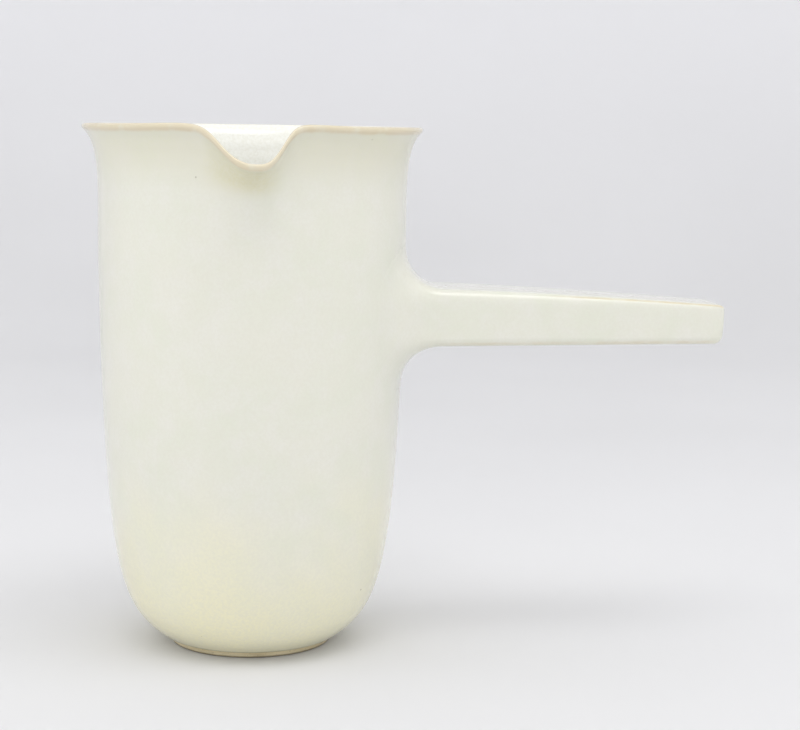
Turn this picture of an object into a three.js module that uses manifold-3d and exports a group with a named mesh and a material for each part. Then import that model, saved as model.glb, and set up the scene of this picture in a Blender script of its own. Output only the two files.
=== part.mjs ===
// A stick-handled ceramic pitcher: a thrown body with a flared rim and a pulled pouring lip, a tapered bar
// handle luted to its side with a coil of clay, and a low turned foot left bare of glaze.
// Millimetres, +Z up. The origin is the centre of the foot's flat underside, the handle points along +X
// and the lip pours towards -Y.
import * as THREE from "three";
import { mergeVertices } from "three/addons/utils/BufferGeometryUtils.js";
import Module from "manifold-3d";

const wasm = await Module();
wasm.setup();

// Body.
const rimHeight = 200; // table to the top of the rim
const neckRadius = 58.9; // outside of the wall where the neck starts
const neckDepth = 49; // how far below the rim that is
const rimFlare = 5.9; // how far the rim stands out past the neck
const bellyTuck = 2.2; // how much narrower the belly is than the neck
const bellyHeight = 25; // height that the lower wall's curve leans towards
const heelSpread = 18; // how far the heel runs out before it turns up
const heelRise = 12; // how far it rises on the way
const wallThickness = 4.5;
const lipThickness = 2.4; // rounded edge of the rim
const flareAngle = THREE.MathUtils.degToRad(50); // the rim's lean from the vertical
const flareHold = 9.5; // how strongly the rim keeps that lean on its way down
const neckHold = 21; // how strongly the neck keeps the wall's lean on its way up
const floorThickness = 5;
const floorFlat = 18; // radius of the floor's level middle
const floorSweep = 9; // height above the floor where its curve has become the wall

// Pulled lip, measured along the rim from the middle of the lip. Negative is towards -X.
const lipDrop = 13.2; // how far the lip's edge dips below the rim
const lipReach = 8.5; // how far it stands out past the rim
const lipLeft = 12.6; // distance to half the dip on the left
const lipRight = 8.6; // and on the right
const lipSkew = 1.6; // the lowest point's distance from the middle
const lipFullness = 2.6; // 2 is a bell curve, more is a fuller U
const shoulderRise = 0.6; // how far the rim swells up on both sides of the lip
const shoulderReach = 2.1; // how much wider than the dip those swellings lie
const lipAngle = THREE.MathUtils.degToRad(65); // the lip's lean from the vertical
const lipHold = 7; // how strongly the lip keeps that lean on its way down
const throatHold = 27; // how strongly the neck keeps the wall's lean up to the lip

// Foot.
const footRadius = 31;
const footHeight = 2.4;
const footBevel = 0.6;
const glazeOverhang = 2; // how far the glazed wall stands out past the foot

// Handle.
const handleLength = 123.4; // from the wall to the far end
const handleLevel = 117.4; // table to the underside of the handle's root
const tipLift = 0.8; // how much higher its underside is at the far end
const rootDepth = 21.8; // the bar's height at the root
const rootWidth = 40;
const tipDepth = 15.2; // the bar's height at the far end
const tipWidth = 26;
const topBow = 0.35; // share of the top's fall that comes late, as a bow
const edgeRadius = 3.5; // rounding along the handle's long edges
const tipRounding = 3; // rounding of its far end
const coilTop = 15.8; // hollow of the luting coil above the handle's root
const coilUnder = 16.4; // and under it
const slipGap = 0.3; // thickness of the slip between luted pieces

// How finely the shapes are faceted.
const turns = 72; // facets round the body
const crowding = 0.62; // how far those facets crowd towards the lip
const handleSteps = 6;
const cornerFacets = 4;
const sideFacets = 5;
const coilFacets = 6;

const glaze = { color: 0xe6e7d8, roughness: 0.24, metalness: 0 };
const bareClay = { color: 0xa89f8c, roughness: 0.85, metalness: 0 };

const rimRadius = neckRadius + rimFlare;
const neckHeight = rimHeight - neckDepth;
const seatRadius = footRadius + glazeOverhang;
const handleRoot = neckRadius + coilUnder; // station where the root's section is measured
const handleTip = neckRadius + handleLength;

// The rim's rounded edge is a half circle that reaches the rim's height and its radius.
const lipRadius = lipThickness / 2;
const lipCentre = new THREE.Vector2(rimRadius - lipRadius, rimHeight - lipRadius);
const belly = new THREE.Vector2(neckRadius - bellyTuck, bellyHeight);
const neck = new THREE.Vector2(neckRadius, neckHeight);
const wallLean = neck.clone().sub(belly).normalize();

// Directions up along a wall that leans out by an angle, and outwards from it.
function upAlong(angle) {
  return new THREE.Vector2(Math.sin(angle), Math.cos(angle));
}

function outFrom(along) {
  return new THREE.Vector2(along.y, -along.x);
}

// Outside of the wall from the neck to the start of its rounded edge, where the lip is pulled by a
// share of its full shape and the edge is lifted by some height.
function flareCurve(pull, lift) {
  const along = upAlong(THREE.MathUtils.lerp(flareAngle, lipAngle, pull));
  const end = lipCentre.clone().addScaledVector(outFrom(along), lipRadius);
  end.x += lipReach * pull;
  end.y += lift - lipDrop * pull;
  return new THREE.CubicBezierCurve(
    neck,
    neck.clone().addScaledVector(wallLean, THREE.MathUtils.lerp(neckHold, throatHold, pull)),
    end.clone().addScaledVector(along, -THREE.MathUtils.lerp(flareHold, lipHold, pull)),
    end,
  );
}

// Outside of the wall from its seat above the foot to the rim, as points (radius, height).
function outerWall() {
  const seat = new THREE.Vector2(seatRadius, footHeight);
  const spread = seat.clone().add(new THREE.Vector2(heelSpread, heelRise));
  const heel = new THREE.CubicBezierCurve(seat, spread, belly, neck);
  return [...heel.getPoints(14), ...flareCurve(0, 0).getPoints(9).slice(1)];
}

// The same outline moved outwards by a distance, which is negative to move it inwards.
function offsetOutline(points, distanceAt) {
  return points.map((point, i) => {
    const before = points[Math.max(i - 1, 0)];
    const after = points[Math.min(i + 1, points.length - 1)];
    const along = after.clone().sub(before).normalize();
    return point.clone().addScaledVector(new THREE.Vector2(along.y, -along.x), distanceAt(point));
  });
}

// Rounded edge between the outside and the inside.
function lipEdge() {
  const start = outFrom(upAlong(flareAngle)).angle();
  const arc = new THREE.EllipseCurve(
    lipCentre.x, lipCentre.y, lipRadius, lipRadius, start, start + Math.PI,
  );
  return arc.getPoints(6).slice(1, -1);
}

// Inside of the body from the lip down to the middle of the floor.
function innerWall() {
  const thickness = (point) => {
    const thinned = THREE.MathUtils.smoothstep(point.y, neckHeight, rimHeight);
    return -THREE.MathUtils.lerp(wallThickness, lipThickness, thinned);
  };
  const floorHeight = footHeight + floorThickness;
  const wall = offsetOutline(outerWall(), thickness)
    .filter((point) => point.y > floorHeight + floorSweep)
    .reverse();
  const last = wall.at(-1);
  const along = last.clone().sub(wall.at(-2));
  const corner = last.x + (along.x / along.y) * (floorHeight - last.y);
  const sweep = new THREE.QuadraticBezierCurve(
    last,
    new THREE.Vector2(corner, floorHeight),
    new THREE.Vector2(floorFlat, floorHeight),
  );
  return [...wall, ...sweep.getPoints(6).slice(1)];
}

// Turns an outline round +Z, with the facets crowded towards the lip at -Y.
function turned(outline) {
  const geometry = new THREE.LatheGeometry(outline, turns).rotateX(Math.PI / 2);
  const position = geometry.getAttribute("position");
  for (let i = 0; i < position.count; i++) {
    const radius = Math.hypot(position.getX(i), position.getY(i));
    const evenly = Math.atan2(position.getX(i), -position.getY(i));
    const angle = evenly - crowding * Math.sin(evenly);
    position.setXY(i, radius * Math.sin(angle), -radius * Math.cos(angle));
  }
  return geometry;
}

// The share along the rim's own curve at which a place lies straight out from it.
function shareAlong(curve, place) {
  let low = 0;
  let high = 1;
  for (let i = 0; i < 24; i++) {
    const middle = (low + high) / 2;
    const ahead = place.clone().sub(curve.getPoint(middle)).dot(curve.getTangent(middle)) > 0;
    if (ahead) low = middle;
    else high = middle;
  }
  return (low + high) / 2;
}

// Draws the rim out and down into a pouring lip. Each place keeps its distance from the wall's
// outside, so the wall and its rounded edge keep their thickness.
function pullLip(geometry) {
  const position = geometry.getAttribute("position");
  const rim = flareCurve(0, 0);
  for (let i = 0; i < position.count; i++) {
    const place = new THREE.Vector2(
      Math.hypot(position.getX(i), position.getY(i)), position.getZ(i),
    );
    const share = shareAlong(rim, place);
    if (place.x < floorFlat || place.y < neckHeight || share < 1e-4) continue;
    const angle = Math.atan2(position.getX(i), -position.getY(i));
    const around = angle * rimRadius - lipSkew;
    const half = around < 0 ? lipLeft : lipRight;
    const pull = Math.pow(0.5, Math.pow(Math.abs(around) / half, lipFullness));
    const broad = Math.pow(0.5, Math.pow(around / (half * shoulderReach), 2));
    const pulled = flareCurve(pull, 4 * shoulderRise * broad * (1 - broad));
    const offset = place.clone().sub(rim.getPoint(share));
    const before = rim.getTangent(share);
    const after = pulled.getTangent(share);
    const moved = pulled.getPoint(share)
      .addScaledVector(after, offset.dot(before))
      .addScaledVector(outFrom(after), offset.dot(outFrom(before)));
    position.setXYZ(i, moved.x * Math.sin(angle), -moved.x * Math.cos(angle), moved.y);
  }
  return geometry;
}

// A geometry as a manifold-3d solid, and back.
function solidOf(geometry) {
  const bare = geometry.clone();
  bare.deleteAttribute("normal");
  bare.deleteAttribute("uv");
  const merged = mergeVertices(bare, 1e-3);
  return new wasm.Manifold(new wasm.Mesh({
    numProp: 3,
    vertProperties: merged.getAttribute("position").array,
    triVerts: new Uint32Array(merged.index.array),
  }));
}

function geometryOf(solid) {
  const mesh = solid.getMesh();
  const position = new THREE.BufferAttribute(new Float32Array(mesh.vertProperties), 3);
  const geometry = new THREE.BufferGeometry().setAttribute("position", position);
  return geometry.setIndex(new THREE.BufferAttribute(new Uint32Array(mesh.triVerts), 1));
}

// The outside of the body below the lip as a full solid, grown by the slip's thickness.
function bodyCutter() {
  const grown = offsetOutline(outerWall(), () => slipGap);
  const bottom = new THREE.Vector2(0, grown[0].y);
  const top = new THREE.Vector2(0, grown.at(-1).y);
  return solidOf(turned([bottom, ...grown, top]));
}

// Where the outside of the wall lies along +X, at a sideways place and a height.
function wallAlongX(y, z) {
  const outer = outerWall();
  const above = Math.max(outer.findIndex((point) => point.y >= z), 1);
  const [low, high] = [outer[above - 1], outer[above]];
  const radius = THREE.MathUtils.mapLinear(z, low.y, high.y, low.x, high.x);
  return Math.sqrt(Math.max(radius ** 2 - y ** 2, 0));
}

// The handle's section at a station along X: half its width, half its height and the middle's height.
function handleSection(x) {
  const share = (x - handleRoot) / (handleTip - handleRoot);
  const fall = (1 - topBow) * share + topBow * share * Math.abs(share);
  const bottom = handleLevel + tipLift * share;
  const top = THREE.MathUtils.lerp(handleLevel + rootDepth, handleLevel + tipLift + tipDepth, fall);
  const width = THREE.MathUtils.lerp(rootWidth, tipWidth, share);
  return { halfWidth: width / 2, halfHeight: (top - bottom) / 2, middle: (top + bottom) / 2 };
}

// Points round a rounded rectangle of given half sizes, each with its outward direction.
function outlinePoints(halfWidth, halfHeight, corner) {
  const points = [];
  const quarters = [[1, 1], [-1, 1], [-1, -1], [1, -1]];
  const centres = quarters.map(([signY, signZ]) => {
    return new THREE.Vector2(signY * (halfWidth - corner), signZ * (halfHeight - corner));
  });
  centres.forEach((centre, quarter) => {
    for (let i = 0; i <= cornerFacets; i++) {
      const angle = ((quarter + i / cornerFacets) * Math.PI) / 2;
      const outward = new THREE.Vector2(Math.cos(angle), Math.sin(angle));
      points.push({ place: centre.clone().addScaledVector(outward, corner), outward });
    }
    const { place, outward } = points.at(-1);
    const sideEnd = centres[(quarter + 1) % 4].clone().addScaledVector(outward, corner);
    for (let i = 1; i < sideFacets; i++) {
      points.push({ place: place.clone().lerp(sideEnd, i / sideFacets), outward });
    }
  });
  return points;
}

const rootSection = handleSection(handleRoot);
const rootOutline = outlinePoints(rootSection.halfWidth, rootSection.halfHeight, edgeRadius);

// A place on the root's outline carried along the handle's taper to a station, grown by a clearance.
function alongHandle(place, x, grown = 0) {
  const { halfWidth, halfHeight, middle } = handleSection(x);
  const y = (place.x / rootSection.halfWidth) * (halfWidth + grown);
  const z = (place.y / rootSection.halfHeight) * (halfHeight + grown);
  return new THREE.Vector3(x, y, middle + z);
}

// The tapered bar, grown by a clearance. Its root end still lies inside the body.
function handleBlank(grown) {
  const from = neckRadius / 2;
  const shape = new THREE.Shape(rootOutline.map(({ place }) => place));
  const geometry = new THREE.ExtrudeGeometry(shape, {
    depth: handleTip - tipRounding - from,
    steps: handleSteps,
    bevelThickness: tipRounding,
    bevelSize: tipRounding,
    bevelOffset: -tipRounding,
    bevelSegments: cornerFacets,
  });
  const position = geometry.getAttribute("position");
  for (let i = 0; i < position.count; i++) {
    const place = new THREE.Vector2(position.getX(i), position.getY(i));
    const { x, y, z } = alongHandle(place, from + position.getZ(i), grown);
    position.setXYZ(i, x, y, z);
  }
  return solidOf(geometry);
}

// The coil's hollow face above one place on the handle's outline, from the wall to the handle.
function coilCurve({ place, outward }) {
  const radius = THREE.MathUtils.lerp(coilUnder, coilTop, (1 + outward.y) / 2);
  const onWall = (distance) => {
    const y = place.x + outward.x * distance;
    const z = rootSection.middle + place.y + outward.y * distance;
    return new THREE.Vector3(wallAlongX(y, z), y, z);
  };
  const corner = onWall(0).x;
  const wallEnd = onWall(radius);
  const handleEnd = alongHandle(place, corner + radius);
  const alongWall = onWall(radius - 1).sub(wallEnd).normalize();
  const alongBar = alongHandle(place, corner + radius - 1).sub(handleEnd).normalize();
  // A quarter circle drawn as a Bezier curve holds its directions for this share of its chord.
  const hold = 0.39 * wallEnd.distanceTo(handleEnd);
  return new THREE.CubicBezierCurve3(
    wallEnd,
    wallEnd.clone().addScaledVector(alongWall, hold),
    handleEnd.clone().addScaledVector(alongBar, hold),
    handleEnd,
  );
}

// The coil before it is cut to the wall and the handle: a ring whose section is that hollow curve,
// closed by three points that lie inside its neighbours.
function coilBlank() {
  const buried = 2;
  const sections = rootOutline.map((station) => {
    const hollow = coilCurve(station).getPoints(coilFacets);
    const inward = new THREE.Vector3(0, station.outward.x, station.outward.y).multiplyScalar(-buried);
    const inHandle = hollow.at(-1).clone().add(inward);
    const inWall = hollow[0].clone().setX(hollow[0].x - buried);
    const inBoth = alongHandle(station.place, inWall.x).add(inward);
    return [...hollow, inHandle, inBoth, inWall];
  });
  const around = sections.length;
  const across = sections[0].length;
  const geometry = new THREE.TorusGeometry(2, 1, across, around);
  const position = geometry.getAttribute("position");
  for (let i = 0; i < position.count; i++) {
    const station = i % (around + 1);
    const point = Math.floor(i / (around + 1));
    const { x, y, z } = sections[station % around][point % across];
    position.setXYZ(i, x, y, z);
  }
  return solidOf(geometry);
}

function pitcherBody() {
  const outer = outerWall();
  const underside = new THREE.Vector2(0, footHeight);
  const floor = new THREE.Vector2(0, footHeight + floorThickness);
  return pullLip(turned([underside, ...outer, ...lipEdge(), ...innerWall(), floor]));
}

function foot() {
  return turned([
    new THREE.Vector2(0, 0),
    new THREE.Vector2(footRadius - footBevel, 0),
    new THREE.Vector2(footRadius, footBevel),
    new THREE.Vector2(footRadius, footHeight),
    new THREE.Vector2(0, footHeight),
  ]);
}

function handle() {
  return geometryOf(handleBlank(0).subtract(bodyCutter()));
}

function handleLutingCoil() {
  return geometryOf(coilBlank().subtract(handleBlank(slipGap)).subtract(bodyCutter()));
}

function part(name, geometry, finish) {
  const mesh = new THREE.Mesh(geometry, new THREE.MeshStandardMaterial(finish));
  mesh.name = name;
  return mesh;
}

const pitcher = new THREE.Group();
pitcher.add(
  part("pitcher_body", pitcherBody(), glaze),
  part("handle", handle(), glaze),
  part("handle_luting_coil", handleLutingCoil(), glaze),
  part("foot", foot(), bareClay),
);

export default pitcher;
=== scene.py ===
# Stick-handled pitcher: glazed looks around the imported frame, in metres, +Z up.
import math

import bpy
from mathutils import Matrix, Vector, noise


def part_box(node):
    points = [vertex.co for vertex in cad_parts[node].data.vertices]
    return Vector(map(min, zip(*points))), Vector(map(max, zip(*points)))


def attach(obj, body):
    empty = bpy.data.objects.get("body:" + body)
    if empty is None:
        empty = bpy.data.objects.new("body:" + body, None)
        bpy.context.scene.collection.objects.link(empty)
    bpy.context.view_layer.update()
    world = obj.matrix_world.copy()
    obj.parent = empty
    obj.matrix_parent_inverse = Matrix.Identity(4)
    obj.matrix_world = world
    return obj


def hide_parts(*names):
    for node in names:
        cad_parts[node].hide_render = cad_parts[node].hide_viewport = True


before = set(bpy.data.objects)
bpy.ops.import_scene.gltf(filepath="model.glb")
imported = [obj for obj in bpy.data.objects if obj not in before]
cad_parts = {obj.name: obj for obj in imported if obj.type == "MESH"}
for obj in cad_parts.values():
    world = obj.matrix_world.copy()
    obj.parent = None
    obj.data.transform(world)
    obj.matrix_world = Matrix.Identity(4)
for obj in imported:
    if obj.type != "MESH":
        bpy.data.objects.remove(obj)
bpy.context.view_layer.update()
mm = 0.001

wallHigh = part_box("pitcher_body")[1]
footLow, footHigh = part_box("foot")
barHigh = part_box("handle")[1]


def mix(low, high, share):
    return low + (high - low) * share


def ease(low, high, value):
    share = min(max((value - low) / (high - low), 0.0), 1.0)
    return share * share * (3 - 2 * share)


def bezier(start, startHold, endHold, end, count):
    points = []
    for step in range(count + 1):
        t = step / count
        s = 1 - t
        points.append(start * s**3 + startHold * (3 * t * s * s) + endHold * (3 * t * t * s) + end * t**3)
    return points


def clearSelection():
    if bpy.context.object and bpy.context.object.mode != "OBJECT":
        bpy.ops.object.mode_set(mode="OBJECT")
    bpy.ops.object.select_all(action="DESELECT")


def applyModifier(piece, kind, **settings):
    bpy.context.view_layer.objects.active = piece
    modifier = piece.modifiers.new(kind.title(), kind)
    for key, value in settings.items():
        setattr(modifier, key, value)
    bpy.ops.object.modifier_apply(modifier=modifier.name)


def paintAttribute(piece, name, valueAt):
    layer = piece.data.attributes.new(name, "FLOAT", "POINT")
    for index, vertex in enumerate(piece.data.vertices):
        layer.data[index].value = valueAt(vertex.co)


# A chain of vertices in the XZ plane, turned round the axis like clay on a wheel.
def throwOnWheel(name, outline, steps):
    clearSelection()
    bpy.ops.mesh.primitive_plane_add(size=mm, location=(0, 0, 0))
    piece = bpy.context.object
    piece.name = name
    piece.data.name = name
    bpy.ops.object.mode_set(mode="EDIT")
    bpy.ops.mesh.merge(type="CENTER")
    last = Vector((0, 0))
    for index, point in enumerate(outline):
        step = (point.x - last.x, 0, point.y - last.y)
        if index == 0:
            bpy.ops.transform.translate(value=step)
        else:
            bpy.ops.mesh.extrude_vertices_move(TRANSFORM_OT_translate={"value": step})
        last = point
    bpy.ops.mesh.select_all(action="SELECT")
    bpy.ops.mesh.spin(steps=steps, angle=math.tau, center=(0, 0, 0), axis=(0, 0, 1))
    bpy.ops.mesh.select_all(action="SELECT")
    bpy.ops.mesh.remove_doubles(threshold=0.01 * mm)
    bpy.ops.mesh.normals_make_consistent(inside=False)
    bpy.ops.object.mode_set(mode="OBJECT")
    return piece


# The heights and radii that the pieces share.
footHeight = footHigh.z
footRadius = (footHigh.x - footLow.x) / 2
rimRadius = wallHigh.y
rimHeight = 200 * mm

# The thrown wall.
wall = {
    "rimFlare": 5.9 * mm,       # how far the rim stands out past the neck
    "neckDepth": 49 * mm,       # how far below the rim the neck starts
    "bellyTuck": 2.2 * mm,      # how much narrower the belly is than the neck
    "bellyHeight": 25 * mm,
    "heelSpread": 18 * mm,      # how strongly the heel runs outwards above the foot
    "heelRise": 12 * mm,        # and upwards
    "thickness": 4.5 * mm,
    "lipThickness": 2.4 * mm,
    "flareAngle": math.radians(50),
    "flareHold": 9.5 * mm,      # how strongly the rim keeps that lean on its way down
    "neckHold": 21 * mm,        # how strongly the neck keeps the wall's lean up to it
    "floorThickness": 5 * mm,
    "floorFlat": 18 * mm,       # radius of the flat middle of the floor
    "floorSweep": 9 * mm,       # height at which the inside starts to sweep into the floor
    "glazeOverhang": 2 * mm,    # how far the glaze stands out past the foot
    "glazeRoll": 0.9 * mm,      # rounding of the glaze's lower edge
    "turns": 150,               # facets round the wall before it is smoothed
    "crowding": 0.5,            # how far they crowd towards the lip
    "heelFacets": 36,           # facets up the outline, from the foot to the neck
    "flareFacets": 18,          # from the neck to the rim
    "edgeFacets": 10,           # over the rounded rim
    "sweepFacets": 10,          # from the inside to the floor
    "rollFacets": 5,            # round the glaze's lower edge
    "ringPitch": 5.4 * mm,      # spacing of the throwing rings
    "ringDepthOutside": 0.035 * mm,
    "ringDepthInside": 0.12 * mm,
    "ringPatches": 30,          # how finely the rings come and go
    "wobble": 0.12 * mm,        # a hand-thrown wall is never quite round
    "wobbleWaves": 6,           # how quickly that changes with height
    "stillBand": 12 * mm,       # height above the foot by which both have grown to full size
    "wornBand": (0.05 * mm, 1.5 * mm),  # where the thin glaze on the rim ends
    "wornInside": 0.12,         # how much of it shows on the inner side
    "rimShade": 0.4,            # how strong the painted shade is under the rim, against under the lip
    "rimShadeBand": (26 * mm, 8 * mm),  # from and to how far below the rim
    "lipShadeBand": (27 * mm, 14 * mm),
    "lipShadeSpread": 0.6,      # below 1 spreads it sideways
    "lipShadeShift": 3.5 * mm,  # it lies a little to the left
    "shadeEndBand": (4 * mm, 1.5 * mm),
    "shadeEnd": 0.7,            # how much of it is lost close to the rim
}

neckRadius = rimRadius - wall["rimFlare"]
neckHeight = rimHeight - wall["neckDepth"]
seatRadius = footRadius + wall["glazeOverhang"]
lipRadius = wall["lipThickness"] / 2
lipCentre = Vector((rimRadius - lipRadius, rimHeight - lipRadius))
belly = Vector((neckRadius - wall["bellyTuck"], wall["bellyHeight"]))
neck = Vector((neckRadius, neckHeight))
wallLean = (neck - belly).normalized()

# The lip that is pulled out of its rim.
lip = {
    "drop": 13.2 * mm,          # how far the lip dips below the rim
    "reach": 8.5 * mm,          # how far it stands out past the rim
    "left": 12.6 * mm,          # distance along the rim to half the dip, on the left
    "right": 8.6 * mm,          # and on the right
    "skew": 1.6 * mm,           # how far the whole dip lies to the right
    "fullness": 2.6,            # how square the dip is
    "shoulderRise": 0.6 * mm,   # how far the rim swells up beside it
    "shoulderReach": 2.1,       # where that is highest, in distances to half the dip
    "angle": math.radians(65),  # the lip's lean from the vertical
    "hold": 7 * mm,             # how strongly the lip keeps that lean on its way down
    "throatHold": 27 * mm,      # how strongly the neck keeps the wall's lean up to it
}


# Directions up along a wall that leans out by an angle, and outwards from it.
def upAlong(angle):
    return Vector((math.sin(angle), math.cos(angle)))


def outFrom(along):
    return Vector((along.y, -along.x))


# Holding points of the wall's outside from the neck to its rounded edge, for a share of the lip's pull.
def flareHandles(pull, lift):
    along = upAlong(mix(wall["flareAngle"], lip["angle"], pull))
    end = lipCentre + outFrom(along) * lipRadius + Vector((lip["reach"] * pull, lift - lip["drop"] * pull))
    return (
        neck, neck + wallLean * mix(wall["neckHold"], lip["throatHold"], pull),
        end - along * mix(wall["flareHold"], lip["hold"], pull), end,
    )


def onCurve(handles, t):
    a, b, c, d = handles
    s = 1 - t
    return a * s**3 + b * (3 * t * s * s) + c * (3 * t * t * s) + d * t**3


def alongCurve(handles, t):
    a, b, c, d = handles
    s = 1 - t
    return ((b - a) * (s * s) + (c - b) * (2 * s * t) + (d - c) * (t * t)).normalized()


def outerOutline():
    seat = Vector((seatRadius, footHeight))
    heelHold = seat + Vector((wall["heelSpread"], wall["heelRise"]))
    heel = bezier(seat, heelHold, belly, neck, wall["heelFacets"])
    flare = bezier(*flareHandles(0, 0), wall["flareFacets"])
    return heel + flare[1:]


outer = outerOutline()


def radiusAt(height):
    for low, high in zip(outer, outer[1:]):
        if high.y >= height:
            return mix(low.x, high.x, (height - low.y) / (high.y - low.y))
    return outer[-1].x


def innerOutline():
    inner = []
    floorHeight = footHeight + wall["floorThickness"]
    for index, point in enumerate(outer):
        before = outer[max(index - 1, 0)]
        after = outer[min(index + 1, len(outer) - 1)]
        along = (after - before).normalized()
        thinned = ease(neckHeight, rimHeight, point.y)
        depth = mix(wall["thickness"], wall["lipThickness"], thinned)
        moved = point - Vector((along.y, -along.x)) * depth
        if moved.y > floorHeight + wall["floorSweep"]:
            inner.append(moved)
    inner.reverse()
    last = inner[-1]
    along = last - inner[-2]
    corner = Vector((last.x + along.x / along.y * (floorHeight - last.y), floorHeight))
    flat = Vector((wall["floorFlat"], floorHeight))
    sweep = bezier(last, mix(last, corner, 2 / 3), mix(flat, corner, 2 / 3), flat, wall["sweepFacets"])
    middle = [Vector((flat.x * share, floorHeight)) for share in (0.7, 0.4, 0.15, 0)]
    return inner + sweep[1:] + middle


def rimEdge():
    outward = outFrom(upAlong(wall["flareAngle"]))
    start = math.atan2(outward.y, outward.x)
    return [
        lipCentre + Vector((math.cos(start + angle), math.sin(start + angle))) * lipRadius
        for angle in (math.pi * step / wall["edgeFacets"] for step in range(1, wall["edgeFacets"]))
    ]


# The underside ends in a small roll of glaze that turns up into the heel.
def undersideOutline():
    roll = wall["glazeRoll"]
    flat = [Vector((seatRadius * share, footHeight)) for share in (0, 0.25, 0.5, 0.75, 0.92)]
    heelStart = outer[1]
    rollStart = Vector((seatRadius - roll, footHeight))
    rollHold = rollStart + Vector((roll * 0.7, 0))
    heelHold = heelStart - Vector((roll * 0.4, roll * 0.3))
    return flat + bezier(rollStart, rollHold, heelHold, heelStart, wall["rollFacets"])


rimHandles = flareHandles(0, 0)


# The share along the rim's own curve at which a place lies straight out from it, found by halving.
def shareAlong(place):
    low, high = 0.0, 1.0
    for _ in range(14):
        middle = (low + high) / 2
        if (place - onCurve(rimHandles, middle)).dot(alongCurve(rimHandles, middle)) > 0:
            low = middle
        else:
            high = middle
    return high if high == 1 else (low + high) / 2


# How strongly the lip is pulled at a place round the rim, and how much the rim swells up there.
def pullAt(angle):
    around = angle * rimRadius - lip["skew"]
    half = lip["left"] if around < 0 else lip["right"]
    pull = 0.5 ** ((abs(around) / half) ** lip["fullness"])
    broad = 0.5 ** ((around / (half * lip["shoulderReach"])) ** 2)
    return pull, 4 * lip["shoulderRise"] * broad * (1 - broad)


# Where a point of the turned wall goes when the lip is pulled. It keeps its distance from the outside.
def pulled(place):
    flat = Vector((math.hypot(place.x, place.y), place.z))
    angle = math.atan2(place.x, -place.y)
    pull, lift = pullAt(angle)
    if flat.x < wall["floorFlat"] or flat.y < neckHeight or max(pull, lift / mm) < 0.0001:
        return place.copy()
    share = shareAlong(flat)
    handles = flareHandles(pull, lift)
    offset = flat - onCurve(rimHandles, share)
    before = alongCurve(rimHandles, share)
    after = alongCurve(handles, share)
    moved = onCurve(handles, share) + after * offset.dot(before)
    moved += outFrom(after) * offset.dot(outFrom(before))
    return Vector((moved.x * math.sin(angle), -moved.x * math.cos(angle), moved.y))


def isInside(place):
    radius = math.hypot(place.x, place.y)
    if place.z < footHeight + wall["floorThickness"] / 2:
        return False
    if place.z > lipCentre.y - lipRadius:
        return radius < lipCentre.x
    return radius < radiusAt(place.z) - wall["thickness"] * 0.4


# Glaze runs thin over the rim's rounded edge, on its outer side.
def rimWear(place):
    offset = Vector((math.hypot(place.x, place.y), place.z)) - lipCentre
    outward = ease(-0.8 * lipRadius, 0.3 * lipRadius, offset.x)
    near, far = wall["wornBand"]
    worn = 1 - ease(lipRadius + near, lipRadius + far, offset.length)
    return worn * mix(wall["wornInside"], 1, outward)


# How far a height has climbed through a band that is measured down from the rim.
def climbed(band, height):
    return ease(rimHeight - band[0], rimHeight - band[1], height)


# Painted shade in the hollow under the rim, and most of all under the lip.
def hollowAt(place):
    if isInside(place):
        return 0.0
    shifted = math.atan2(place.x, -place.y) + wall["lipShadeShift"] / rimRadius
    underLip = pullAt(shifted)[0] ** wall["lipShadeSpread"] * climbed(wall["lipShadeBand"], place.z)
    underRim = wall["rimShade"] * climbed(wall["rimShadeBand"], place.z)
    return max(underLip, underRim) * (1 - wall["shadeEnd"] * climbed(wall["shadeEndBand"], place.z))


def makeWall():
    outline = undersideOutline() + outer[2:] + rimEdge() + innerOutline()
    piece = throwOnWheel("pitcherWall", outline, wall["turns"])
    for vertex in piece.data.vertices:
        radius = math.hypot(vertex.co.x, vertex.co.y)
        if radius < 1e-6:
            continue
        evenly = math.atan2(vertex.co.x, -vertex.co.y)
        angle = evenly - wall["crowding"] * math.sin(evenly)
        vertex.co.x = radius * math.sin(angle)
        vertex.co.y = -radius * math.cos(angle)
    # The inside is marked for its smoother glaze and its painted light.
    paintAttribute(piece, "insideLightened", lambda place: 1.0 if isInside(place) else 0.0)
    paintAttribute(piece, "thinGlazeAndShade", rimWear)
    # Painted shade under the rim and the lip.
    paintAttribute(piece, "hollow", hollowAt)
    applyModifier(piece, "SUBSURF", levels=1, render_levels=1)
    for vertex in piece.data.vertices:
        place = vertex.co
        radius = math.hypot(place.x, place.y)
        if radius > wall["floorFlat"] / 2:
            inside = isInside(place)
            depth = wall["ringDepthInside"] if inside else wall["ringDepthOutside"]
            turn = math.atan2(place.y, place.x)
            patch = 0.6 + 0.4 * noise.noise(place * wall["ringPatches"])
            still = ease(footHeight, footHeight + wall["stillBand"], place.z)
            ring = math.sin(math.tau * place.z / wall["ringPitch"] + turn) * depth * patch
            spot = Vector((math.cos(turn), math.sin(turn), place.z * wall["wobbleWaves"]))
            sway = noise.noise(spot) * wall["wobble"]
            grown = (radius + (ring + sway) * still) / radius
            place = Vector((place.x * grown, place.y * grown, place.z))
        vertex.co = pulled(place)
    piece.data.shade_smooth()
    return piece


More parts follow.
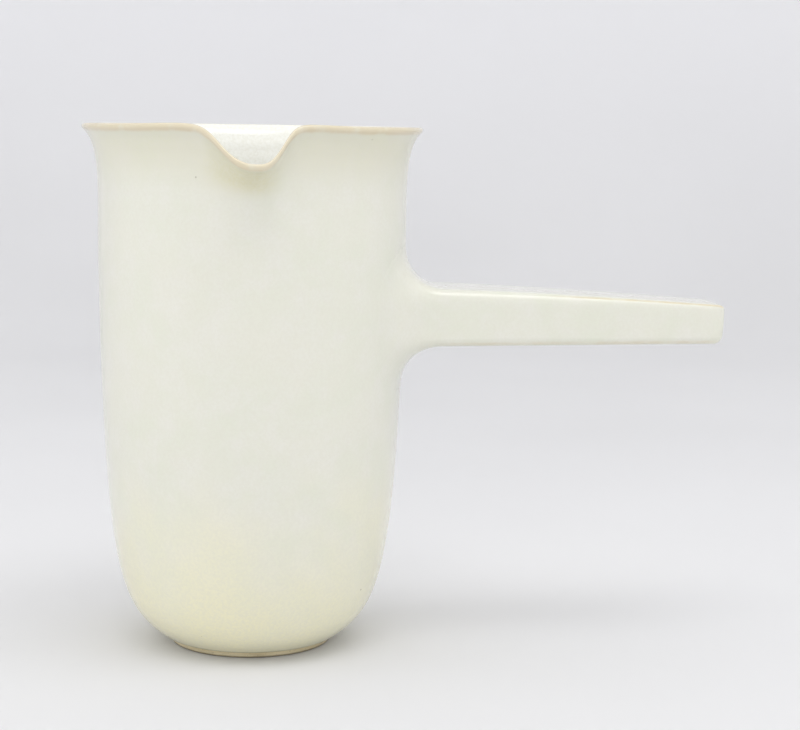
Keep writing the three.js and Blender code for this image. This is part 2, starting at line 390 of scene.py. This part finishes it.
# The bar handle, with its root worked into the wall.
bar = {
    "level": 117.4 * mm,        # underside of the root above the table
    "tipLift": 0.8 * mm,        # and how much higher it is at the far end
    "rootDepth": 21.8 * mm,
    "rootWidth": 40 * mm,
    "tipDepth": 15.2 * mm,
    "tipWidth": 26 * mm,
    "topBow": 0.35,             # how much the top's line bows upwards between its ends
    "topEdgeRoot": 4.6 * mm,    # rounding of the long edges, above at the root
    "topEdgeTip": 2.2 * mm,     # and at the far end
    "underEdgeRoot": 3.4 * mm,
    "underEdgeTip": 3.0 * mm,
    "smallestEdge": 0.35 * mm,  # no rounding is tighter than this
    "crown": 0.08 * mm,         # how far the flat faces swell
    "tipRounding": 3.4 * mm,
    "tipTopRounding": 1.6 * mm,  # the far face meets the top more sharply
    "tipInsets": (0.75, 0.5, 0.4),  # each ring of the far face, against the one round it
    "tipLean": 0.5 * mm,        # how far the far face leans in at its foot
    "leanReach": 8 * mm,        # over this length of the bar
    "leanFrom": 0.3,            # starting this far above its middle, in half depths
    "leanCurve": 1.5,           # above 1 the lean grows towards the foot
    "coilTop": 15.8 * mm,       # hollow worked round the root, above
    "coilUnder": 16.4 * mm,     # and under it
    "wallHold": 0.42,           # how strongly the hollow hugs the wall
    "barHold": 0.4,             # and the bar
    "skirt": 1.2 * mm,          # the coil's feathered edge past the hollow
    "sunk": 0.25 * mm,          # and how deep it lies in the wall
    "plug": 2.2 * mm,           # depth of the bar's inner end in the wall
    "cornerFacets": 7,
    "sideFacets": 12,
    "coilRings": 16,
    "barRings": 34,
    "tipRings": 7,
    "wornStart": 20 * mm,       # the worn crest starts this far out from the root
    "wornFull": 40 * mm,        # and is full this far short of the end
    "wornAtRoot": 0.05,
    "wornAtTip": 0.95,
    "crestPlace": 0.41,         # where it lies on the rounding
    "crestBand": (0.15 * mm, 1.1 * mm),
    "crestSide": (-0.6 * mm, 0.1 * mm),  # it keeps to the upper half of the rounding
    # Painted shade, in the thin glaze's tan, along the lower edges and round the far face.
    "underBand": (0.6 * mm, 2.6 * mm),
    "underEdgeShade": 0.75,
    "underFrom": 6 * mm,        # how far from the wall the painted shade on the lower edge starts
    "underFull": 4 * mm,        # and how far past the root it is full
    "farFaceShade": 0.3,
    "farBand": 2.5 * mm,
}

barRoot = neckRadius + bar["coilUnder"]
barTip = barHigh.x


def barSize(x):
    share = (x - barRoot) / (barTip - barRoot)
    fall = (1 - bar["topBow"]) * share + bar["topBow"] * share * abs(share)
    bottom = bar["level"] + bar["tipLift"] * share
    top = mix(bar["level"] + bar["rootDepth"], bar["level"] + bar["tipLift"] + bar["tipDepth"], fall)
    width = mix(bar["rootWidth"], bar["tipWidth"], share)
    kept = min(max(share, 0), 1)
    return {
        "halfWidth": width / 2,
        "halfDepth": (top - bottom) / 2,
        "middle": (top + bottom) / 2,
        "topEdge": mix(bar["topEdgeRoot"], bar["topEdgeTip"], kept),
        "underEdge": mix(bar["underEdgeRoot"], bar["underEdgeTip"], kept),
    }


# The bar's section as places (y, z) with outward directions, drawn in by an inset.
def barSection(x, inset=0.0, topInset=0.0):
    size = barSize(x)
    size["halfDepth"] -= (topInset - inset) / 2
    size["middle"] -= (topInset - inset) / 2
    corners = []
    for signY, signZ in ((1, 1), (-1, 1), (-1, -1), (1, -1)):
        edge = size["topEdge"] if signZ > 0 else size["underEdge"]
        edge = max(edge - inset, bar["smallestEdge"])
        centre = Vector((
            signY * (size["halfWidth"] - inset - edge), signZ * (size["halfDepth"] - inset - edge)
        ))
        corners.append((centre, edge))
    section = []
    for quarter, (centre, edge) in enumerate(corners):
        for step in range(bar["cornerFacets"] + 1):
            angle = (quarter + step / bar["cornerFacets"]) * math.pi / 2
            outward = Vector((math.cos(angle), math.sin(angle)))
            section.append((centre + outward * edge, outward))
        place, outward = section[-1]
        nextCentre, nextEdge = corners[(quarter + 1) % 4]
        sideEnd = nextCentre + outward * nextEdge
        for step in range(1, bar["sideFacets"]):
            share = step / bar["sideFacets"]
            swell = outward * (bar["crown"] * 4 * share * (1 - share))
            section.append((mix(place, sideEnd, share) + swell, outward))
    return [(Vector((y, z + size["middle"])), outward) for (y, z), outward in section]


def onWall(y, z):
    radius = radiusAt(z)
    return Vector((math.sqrt(max(radius * radius - y * y, 0)), y, z))


# One strand of the worked coil, from its feathered edge on the wall to the bar.
def coilStrand(index):
    place, outward = rootSection[index]
    radius = mix(bar["coilUnder"], bar["coilTop"], (1 + outward.y) / 2)

    def wallPlace(distance):
        return onWall(place.x + outward.x * distance, place.y + outward.y * distance)

    corner = wallPlace(0).x

    def barPlace(x):
        spot = barSection(x)[index][0]
        return Vector((x, spot.x, spot.y))

    wallEnd = wallPlace(radius)
    barEnd = barPlace(corner + radius)
    alongWall = (wallPlace(radius - mm) - wallEnd).normalized()
    alongBar = (barPlace(corner + radius - mm) - barEnd).normalized()
    chord = (barEnd - wallEnd).length
    wallHold = wallEnd + alongWall * (chord * bar["wallHold"])
    barHold = barEnd + alongBar * (chord * bar["barHold"])
    strand = bezier(wallEnd, wallHold, barHold, barEnd, bar["coilRings"])
    skirt = wallPlace(radius + bar["skirt"]) - Vector((bar["sunk"], 0, 0))
    strand[0] = strand[0] - Vector((bar["sunk"] * 0.15, 0, 0))
    return [skirt] + strand


rootSection = barSection(barRoot)


def barRings():
    strands = [coilStrand(index) for index in range(len(rootSection))]
    rings = [list(ring) for ring in zip(*strands)]
    starts = rings[-1]
    bodyEnd = barTip - bar["tipRounding"]
    for step in range(1, bar["barRings"] + 1):
        share = step / bar["barRings"]
        ring = []
        for index, start in enumerate(starts):
            x = mix(start.x, bodyEnd, share)
            place = barSection(x)[index][0]
            ring.append(Vector((x, place.x, place.y)))
        rings.append(ring)
    for step in range(1, bar["tipRings"] + 1):
        angle = math.pi / 2 * step / bar["tipRings"]
        x = bodyEnd + bar["tipRounding"] * math.sin(angle)
        inset = bar["tipRounding"] * (1 - math.cos(angle))
        topInset = bar["tipTopRounding"] * (1 - math.cos(angle))
        rings.append([Vector((x, place.x, place.y)) for place, _ in barSection(x, inset, topInset)])
    return rings


def makeBar():
    rings = barRings()
    clearSelection()
    bpy.ops.mesh.primitive_circle_add(
        vertices=len(rings[0]), radius=bar["rootWidth"] / 2, fill_type="TRIFAN", location=(0, 0, 0)
    )
    piece = bpy.context.object
    piece.name = "barHandle"
    piece.data.name = "barHandle"
    plugEnd = onWall(0, sum(place.z for place in rings[0]) / len(rings[0])) - Vector((bar["plug"], 0, 0))
    station = piece.data.attributes.new("station", "INT", "POINT")
    around = sorted(
        (vertex for vertex in piece.data.vertices if vertex.co.length > mm),
        key=lambda vertex: math.atan2(vertex.co.y, vertex.co.x) % math.tau,
    )
    for vertex in piece.data.vertices:
        vertex.select = False
        station.data[vertex.index].value = -1
        if vertex.co.length < mm:
            vertex.co = plugEnd
    for index, vertex in enumerate(around):
        vertex.select = True
        station.data[vertex.index].value = index
        vertex.co = rings[0][index]
    for ring in rings[1:]:
        bpy.ops.object.mode_set(mode="EDIT")
        bpy.ops.mesh.extrude_region_move(TRANSFORM_OT_translate={"value": (mm, 0, 0)})
        bpy.ops.object.mode_set(mode="OBJECT")
        stations = piece.data.attributes["station"].data
        for vertex in piece.data.vertices:
            if vertex.select:
                vertex.co = ring[stations[vertex.index].value]
    bpy.ops.object.mode_set(mode="EDIT")
    centre = sum(rings[-1], Vector()) / len(rings[-1])
    for share in bar["tipInsets"]:
        bpy.ops.mesh.extrude_region_move(TRANSFORM_OT_translate={"value": (0, 0, 0)})
        bpy.ops.transform.resize(value=(1, share, share), center_override=centre)
    bpy.ops.mesh.edge_face_add()
    bpy.ops.mesh.poke()
    bpy.ops.mesh.select_all(action="SELECT")
    bpy.ops.mesh.normals_make_consistent(inside=False)
    bpy.ops.object.mode_set(mode="OBJECT")
    leanFarFace(piece)
    paintAttribute(piece, "insideLightened", lambda place: 0.0)
    paintAttribute(piece, "hollow", lambda place: 0.0)
    paintAttribute(piece, "thinGlazeAndShade", barWearAndShade)
    piece.data.shade_smooth()
    return piece


# The far face stands furthest out near its top and leans in towards its foot.
def leanFarFace(piece):
    size = barSize(barTip)
    for vertex in piece.data.vertices:
        near = ease(barTip - bar["leanReach"], barTip, vertex.co.x)
        climb = (vertex.co.z - size["middle"]) / size["halfDepth"]
        vertex.co.x -= bar["tipLean"] * near * max(bar["leanFrom"] - climb, 0) ** bar["leanCurve"]


# Glaze runs thin over the top long edges, more so towards the far end. Painted shade, in the thin glaze's
# tan, lies along the lower edges and round the far face.
def barWearAndShade(place):
    size = barSize(place.x)
    share = ease(barRoot + bar["wornStart"], barTip - bar["wornFull"], place.x)
    fromTop = size["middle"] + size["halfDepth"] - place.z
    fromFoot = place.z - size["middle"] + size["halfDepth"]
    fromSide = max(size["halfWidth"] - abs(place.y), 0)
    crest = bar["crestPlace"] * size["topEdge"]
    above = 1 - ease(*bar["crestBand"], abs(math.hypot(max(fromTop, 0), fromSide) - crest))
    above *= ease(*bar["crestSide"], fromSide - fromTop)
    above *= mix(bar["wornAtRoot"], bar["wornAtTip"], share)
    # Painted shade along the lower edges and round the far face.
    under = 1 - ease(*bar["underBand"], math.hypot(max(fromFoot, 0), fromSide))
    under *= ease(neckRadius + bar["underFrom"], barRoot + bar["underFull"], place.x)
    farFace = ease(barTip - bar["farBand"], barTip, place.x)
    farFace *= 1 - ease(0, bar["farBand"], min(fromTop, fromSide))
    return min(1, above + bar["underEdgeShade"] * under + bar["farFaceShade"] * farFace)


# The turned foot, bare of glaze.
foot = {
    "bevel": 1.1 * mm,
    "bevelReach": 1.6,          # how far the rounding runs in underneath, in bevels
    "grooveDepth": 0.12 * mm,   # turning marks on the underside
    "groovePitch": 2.3 * mm,
    "plainEdge": 2 * mm,        # band at the edge where they fade out
    "sideMark": 0.07 * mm,      # and marks round its side
    "sideMarkStep": 2.1,
    "topGap": 0.02 * mm,        # between its top and the glazed wall
    "rough": 0.12 * mm,
    "roughGrain": 260,
    "turns": 120,
    "underRings": 64,
    "bevelFacets": 6,
    "sideRings": 8,
}


def makeFoot():
    flatEnd = footRadius - foot["bevel"] * foot["bevelReach"]
    outline = [Vector((0, 0))]
    for step in range(1, foot["underRings"] + 1):
        radius = flatEnd * step / foot["underRings"]
        groove = foot["grooveDepth"] * (0.5 - 0.5 * math.cos(math.tau * radius / foot["groovePitch"]))
        fade = 1 - ease(flatEnd - foot["plainEdge"], flatEnd, radius)
        outline.append(Vector((radius, groove * fade)))
    corner = Vector((footRadius, 0))
    bevelStart = outline[-1] + Vector((0.1 * mm, 0))
    bevelEnd = Vector((footRadius, foot["bevel"]))
    outline += bezier(bevelStart, corner, corner, bevelEnd, foot["bevelFacets"])
    for step in range(1, foot["sideRings"] + 1):
        height = mix(foot["bevel"], footHeight - foot["topGap"], step / foot["sideRings"])
        mark = foot["sideMark"] * math.sin(step * foot["sideMarkStep"])
        outline.append(Vector((footRadius + mark - foot["sideMark"], height)))
    outline.append(Vector((0, outline[-1].y)))
    piece = throwOnWheel("turnedFoot", outline, foot["turns"])
    for vertex in piece.data.vertices:
        radius = math.hypot(vertex.co.x, vertex.co.y)
        if radius > footRadius - foot["plainEdge"] and vertex.co.z > 0.1 * mm:
            rough = noise.noise(vertex.co * foot["roughGrain"]) * foot["rough"]
            vertex.co.x *= (radius + rough - foot["rough"]) / radius
            vertex.co.y *= (radius + rough - foot["rough"]) / radius
    piece.data.shade_smooth()
    return piece


# A colour given in 0 to 255 as the screen shows it, as the renderer's own values.
def linear(red, green, blue):
    def channel(value):
        value /= 255
        return value / 12.92 if value <= 0.04045 else ((value + 0.055) / 1.055) ** 2.4
    return (channel(red), channel(green), channel(blue), 1)


# A material as a small workbench: it adds nodes, wires them and sets their plain values.
class Finish:
    def __init__(self, name):
        self.material = bpy.data.materials.new(name)
        self.material.use_nodes = True
        self.tree = self.material.node_tree
        self.tree.nodes.clear()
        self.output = self.tree.nodes.new("ShaderNodeOutputMaterial")
        self.shader = self.tree.nodes.new("ShaderNodeBsdfPrincipled")
        self.tree.links.new(self.shader.outputs["BSDF"], self.output.inputs["Surface"])
        self.place = self.add("ShaderNodeTexCoord").outputs["Object"]

    def add(self, kind, settings=None, **inputs):
        node = self.tree.nodes.new(kind)
        for key, value in (settings or {}).items():
            setattr(node, key, value)
        for key, value in inputs.items():
            self.feed(node.inputs[key.replace("_", " ")], value)
        return node

    def feed(self, socket, value):
        if isinstance(value, bpy.types.NodeSocket):
            self.tree.links.new(value, socket)
        else:
            socket.default_value = value

    def noise(self, scale, detail=2.0, roughness=0.5):
        node = self.add(
            "ShaderNodeTexNoise", Vector=self.place, Scale=scale, Detail=detail, Roughness=roughness
        )
        return node.outputs["Fac"]

    def ramp(self, value, low, high, toLow=0.0, toHigh=1.0):
        node = self.add("ShaderNodeMapRange", {"interpolation_type": "SMOOTHSTEP"})
        for socket, number in zip(node.inputs[:5], (value, low, high, toLow, toHigh)):
            self.feed(socket, number)
        return node.outputs["Result"]

    def maths(self, kind, first, second):
        node = self.add("ShaderNodeMath", {"operation": kind})
        self.feed(node.inputs[0], first)
        self.feed(node.inputs[1], second)
        return node.outputs["Value"]

    def blend(self, amount, first, second):
        node = self.add("ShaderNodeMix", {"data_type": "RGBA"})
        self.feed(node.inputs["Factor"], amount)
        self.feed(node.inputs[6], first)    # 6, 7 and 2 are this node's colour sockets
        self.feed(node.inputs[7], second)
        return node.outputs[2]

    def attribute(self, name):
        return self.add("ShaderNodeAttribute", {"attribute_name": name}).outputs["Fac"]

    def bump(self, height, distance, strength, normal=None):
        node = self.add("ShaderNodeBump", Height=height, Distance=distance, Strength=strength)
        if normal is not None:
            self.feed(node.inputs["Normal"], normal)
        return node.outputs["Normal"]


# The glaze. Scales are repeats to the metre.
glaze = {
    "cream": (229, 228, 215),
    "greenCast": (225, 227, 211),
    "greenScale": 42,
    "milky": (230, 229, 219),
    "milkyScale": 95,
    "pooledAndLit": (241, 236, 199),      # glaze gathered thick above the foot, painted lighter there for light thrown up from the table
    "pooledFrom": 78 * mm,          # height at which that starts
    "pooledMost": 0.9,
    "pooledUneven": 0.012,          # how far its edge wanders up and down
    "pooledScale": 22,
    "hollow": (216, 212, 180),      # painted shade under the rim and the lip
    "insideLightened": (247, 247, 240),       # painted light: the same glaze, lighter inside the pitcher
    "grain": (223, 221, 207),
    "grainScale": 900,
    "grainMost": 0.35,
    "tan": (216, 200, 166),         # where it runs thin over the clay; also painted shade on the handle's lower edges and far face
    "tanMost": 0.7,
    "tanScale": 160,
    "pinhole": (140, 126, 98),
    "pinholeCell": 9 * mm,          # distance between places where one may be
    "pinholeSize": 0.45 * mm,
    "pinholeShare": (0.74, 0.76),   # places above this have one
    "pinholeMost": 0.6,
    "pinholeDepth": 0.25 * mm,
    "roughness": (0.08, 0.14),
    "roughnessScale": 55,
    "linerRoughness": 0.07,
    "refraction": 1.5,
    "coat": 0.3,
    "coatRoughness": 0.03,
    "swell": (85, 0.3 * mm, 0.14),  # scale, height and strength of the slow unevenness
    "peel": (700, 0.03 * mm, 0.15),  # and of the fine one
}


def makeGlaze():
    finish = Finish("creamGlaze")
    thinAndShaded = finish.attribute("thinGlazeAndShade")
    insideLightened = finish.attribute("insideLightened")
    green = finish.ramp(finish.noise(glaze["greenScale"], 5, 0.6), 0.25, 0.75)
    milky = finish.ramp(finish.noise(glaze["milkyScale"], 4, 0.6), 0.35, 0.8)
    colour = finish.blend(green, linear(*glaze["cream"]), linear(*glaze["greenCast"]))
    colour = finish.blend(milky, colour, linear(*glaze["milky"]))
    # Yellower pooled glaze towards the foot, with painted light from the table below.
    height = finish.add("ShaderNodeSeparateXYZ", Vector=finish.place).outputs["Z"]
    reach = glaze["pooledUneven"]
    uneven = finish.ramp(finish.noise(glaze["pooledScale"], 3), 0.3, 0.7, -reach, reach)
    raised = finish.maths("ADD", height, uneven)
    pooledAndLitShare = finish.ramp(raised, glaze["pooledFrom"], 0, 0, glaze["pooledMost"])
    colour = finish.blend(pooledAndLitShare, colour, linear(*glaze["pooledAndLit"]))
    # Painted shade under the rim and the lip.
    colour = finish.blend(finish.attribute("hollow"), colour, linear(*glaze["hollow"]))
    # Painted light: the glaze is lighter inside the pitcher.
    colour = finish.blend(insideLightened, colour, linear(*glaze["insideLightened"]))
    grain = finish.ramp(finish.noise(glaze["grainScale"], 2, 0.6), 0.3, 0.7, 0, glaze["grainMost"])
    colour = finish.blend(grain, colour, linear(*glaze["grain"]))
    # Thin glaze on the rim and the handle's top edges, and painted shade on the handle's lower edges and
    # far face.
    patchy = finish.ramp(finish.noise(glaze["tanScale"], 3), 0.3, 0.62, 0.55, 1)
    brokenAndShaded = finish.ramp(finish.maths("MULTIPLY", thinAndShaded, patchy), 0.05, 0.9, 0, glaze["tanMost"])
    colour = finish.blend(brokenAndShaded, colour, linear(*glaze["tan"]))

    cells = finish.add(
        "ShaderNodeTexVoronoi", Vector=finish.place, Scale=1 / glaze["pinholeCell"], Randomness=1.0
    )
    size = glaze["pinholeSize"] / glaze["pinholeCell"]
    chosen = finish.ramp(cells.outputs["Color"], *glaze["pinholeShare"])
    pinhole = finish.ramp(cells.outputs["Distance"], size, size * 0.35)
    pinhole = finish.maths("MULTIPLY", pinhole, chosen)
    stain = finish.maths("MULTIPLY", pinhole, glaze["pinholeMost"])
    colour = finish.blend(stain, colour, linear(*glaze["pinhole"]))
    finish.feed(finish.shader.inputs["Base Color"], colour)

    satin = finish.ramp(finish.noise(glaze["roughnessScale"], 3), 0.3, 0.7, *glaze["roughness"])
    satin = finish.add("ShaderNodeMix", {"data_type": "FLOAT"}, Factor=insideLightened, A=satin)
    satin.inputs["B"].default_value = glaze["linerRoughness"]
    finish.feed(finish.shader.inputs["Roughness"], satin.outputs[0])
    finish.shader.inputs["IOR"].default_value = glaze["refraction"]
    finish.shader.inputs["Coat Weight"].default_value = glaze["coat"]
    finish.shader.inputs["Coat Roughness"].default_value = glaze["coatRoughness"]

    normal = None
    for scale, depth, strength in (glaze["swell"], glaze["peel"]):
        normal = finish.bump(finish.noise(scale, 2), depth, strength, normal)
    pit = finish.maths("MULTIPLY", pinhole, -1.0)
    finish.feed(finish.shader.inputs["Normal"], finish.bump(pit, glaze["pinholeDepth"], 1.0, normal))
    return finish.material


# The bare clay of the foot.
clay = {
    "body": (222, 210, 176),
    "toasted": (206, 192, 156),     # patches browned by the kiln
    "toastedScale": 60,
    "contactShade": (70, 58, 38),       # painted contact shadow along the edge that it stands on
    "contactShadeHeight": 1.1 * mm,
    "contactShadeMost": 0.8,
    "grog": (104, 92, 74),          # dark grains in the clay
    "grogScale": 1500,
    "grogMost": 0.5,
    "roughness": (0.8, 0.92),
    "grainDepth": 0.08 * mm,
    "grainStrength": 0.6,
}


def makeClay():
    finish = Finish("bareClay")
    toasted = finish.ramp(finish.noise(clay["toastedScale"], 4, 0.6), 0.35, 0.7)
    colour = finish.blend(toasted, linear(*clay["body"]), linear(*clay["toasted"]))
    height = finish.add("ShaderNodeSeparateXYZ", Vector=finish.place).outputs["Z"]
    # Painted contact shadow near the table.
    contactShade = finish.ramp(height, clay["contactShadeHeight"], 0, 0, clay["contactShadeMost"])
    colour = finish.blend(contactShade, colour, linear(*clay["contactShade"]))
    grain = finish.noise(clay["grogScale"], 2, 0.7)
    colour = finish.blend(finish.ramp(grain, 0.6, 0.72, 0, clay["grogMost"]), colour, linear(*clay["grog"]))
    finish.feed(finish.shader.inputs["Base Color"], colour)
    finish.feed(finish.shader.inputs["Roughness"], finish.ramp(grain, 0.3, 0.7, *clay["roughness"]))
    normal = finish.bump(grain, clay["grainDepth"], clay["grainStrength"])
    finish.feed(finish.shader.inputs["Normal"], normal)
    return finish.material


# The table, which bends up into a backdrop all round.
stage = {
    "flatRadius": 0.95,
    "bendRadius": 0.7,
    "bendFacets": 12,
    "wallHeight": 1.1,
    "turns": 64,
    "drop": 0.05 * mm,              # how far the table lies below the foot
    "cloth": (230, 230, 231),
    "fold": (226, 226, 227),        # broad, faint shades of the cloth
    "foldScale": 2.2,
    "backdrop": (239, 239, 241),
    "backdropBand": (0.02, 0.4),    # heights over which the cloth turns into it
    "roughness": 0.95,
    "shine": 0.1,
}


def makeStage():
    outline = [Vector((stage["flatRadius"] * share, -stage["drop"])) for share in (0, 0.2, 0.5, 1)]
    for step in range(1, stage["bendFacets"] + 1):
        angle = math.pi / 2 * step / stage["bendFacets"]
        outline.append(Vector((
            stage["flatRadius"] + stage["bendRadius"] * math.sin(angle),
            stage["bendRadius"] * (1 - math.cos(angle)),
        )))
    outline.append(outline[-1] + Vector((0, stage["wallHeight"])))
    floor = throwOnWheel("studioFloor", outline, stage["turns"])
    bpy.context.view_layer.objects.active = floor
    bpy.ops.object.mode_set(mode="EDIT")
    bpy.ops.mesh.select_all(action="SELECT")
    bpy.ops.mesh.normals_make_consistent(inside=True)
    bpy.ops.object.mode_set(mode="OBJECT")
    floor.data.shade_smooth()
    finish = Finish("paleCloth")
    folds = finish.ramp(finish.noise(stage["foldScale"], 2), 0.35, 0.7)
    colour = finish.blend(folds, linear(*stage["cloth"]), linear(*stage["fold"]))
    height = finish.add("ShaderNodeSeparateXYZ", Vector=finish.place).outputs["Z"]
    colour = finish.blend(finish.ramp(height, *stage["backdropBand"]), colour, linear(*stage["backdrop"]))
    finish.feed(finish.shader.inputs["Base Color"], colour)
    finish.shader.inputs["Roughness"].default_value = stage["roughness"]
    finish.shader.inputs["Specular IOR Level"].default_value = stage["shine"]
    floor.data.materials.append(finish.material)


# Large soft lights in metres and watts. Only the key one shows in the glaze's reflections.
lights = {
    "room": 0.93,                   # even white light from all round
    "softboxes": {
        "keySoftbox": {
            "place": (0.15, -0.32, 1.1), "aim": 0.1, "size": (0.8, 0.4), "power": 2.4, "glossy": True,
        },
        "lowFrontPanel": {"place": (-0.1, -1.5, 0.36), "aim": 0.05, "size": (1.4, 0.7), "power": 7.2},
        "leftPanel": {"place": (-1.2, -0.1, 0.55), "aim": 0.1, "size": (0.9, 0.8), "power": 2.6},
        "rightPanel": {"place": (1.3, -0.1, 0.55), "aim": 0.1, "size": (0.9, 0.8), "power": 1.8},
    },
}


# A softbox is turned towards a height on the pitcher's axis.
def addSoftbox(name, place, aim, size, power, glossy=False):
    clearSelection()
    bpy.ops.object.light_add(type="AREA", location=place)
    lamp = bpy.context.object
    lamp.name = name
    lamp.rotation_euler = (Vector((0, 0, aim)) - Vector(place)).to_track_quat("-Z", "Y").to_euler()
    lamp.data.shape = "RECTANGLE"
    lamp.data.size, lamp.data.size_y = size
    lamp.data.energy = power
    lamp.visible_glossy = glossy


def lightScene():
    world = bpy.data.worlds.new("softRoom")
    bpy.context.scene.world = world
    world.use_nodes = True
    background = world.node_tree.nodes["Background"]
    background.inputs["Color"].default_value = (1, 1, 1, 1)
    background.inputs["Strength"].default_value = lights["room"]
    for name, settings in lights["softboxes"].items():
        addSoftbox(name, **settings)


camera = {
    "place": (0, -0.740, 0.20245),
    "turn": 4.43,                   # degrees towards the handle
    "dip": 7.25,                    # degrees down
    "roll": 0.84,
    "lens": 86.5,
    "sensor": 36,
    "nearest": 0.01,                # the closest thing that it sees
}


def makeCamera():
    clearSelection()
    bpy.ops.object.camera_add(location=camera["place"])
    eye = bpy.context.object
    eye.name = "frontCamera"
    eye.data.lens = camera["lens"]
    eye.data.sensor_width = camera["sensor"]
    eye.data.clip_start = camera["nearest"]
    turn = (
        Matrix.Rotation(-math.radians(camera["turn"]), 4, "Z")
        @ Matrix.Rotation(math.radians(90 - camera["dip"]), 4, "X")
        @ Matrix.Rotation(math.radians(camera["roll"]), 4, "Z")
    )
    eye.matrix_world = Matrix.Translation(camera["place"]) @ turn
    bpy.context.scene.camera = eye
    bpy.context.scene.view_settings.view_transform = "Standard"  # a plain studio print, no film curve


print("throwing the wall")
pitcherWall = makeWall()
print("shaping the bar handle")
barHandle = makeBar()
print("turning the foot")
turnedFoot = makeFoot()

print("glazing")
creamGlaze = makeGlaze()
pitcherWall.data.materials.append(creamGlaze)
barHandle.data.materials.append(creamGlaze)
turnedFoot.data.materials.append(makeClay())

for piece, slot in ((pitcherWall, "cream_glaze"), (barHandle, "cream_glaze"), (turnedFoot, "bare_clay")):
    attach(piece, "root")
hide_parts("pitcher_body")
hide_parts("handle", "handle_luting_coil")
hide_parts("foot")

print("setting the stage")
makeStage()
lightScene()
makeCamera()

print("done")
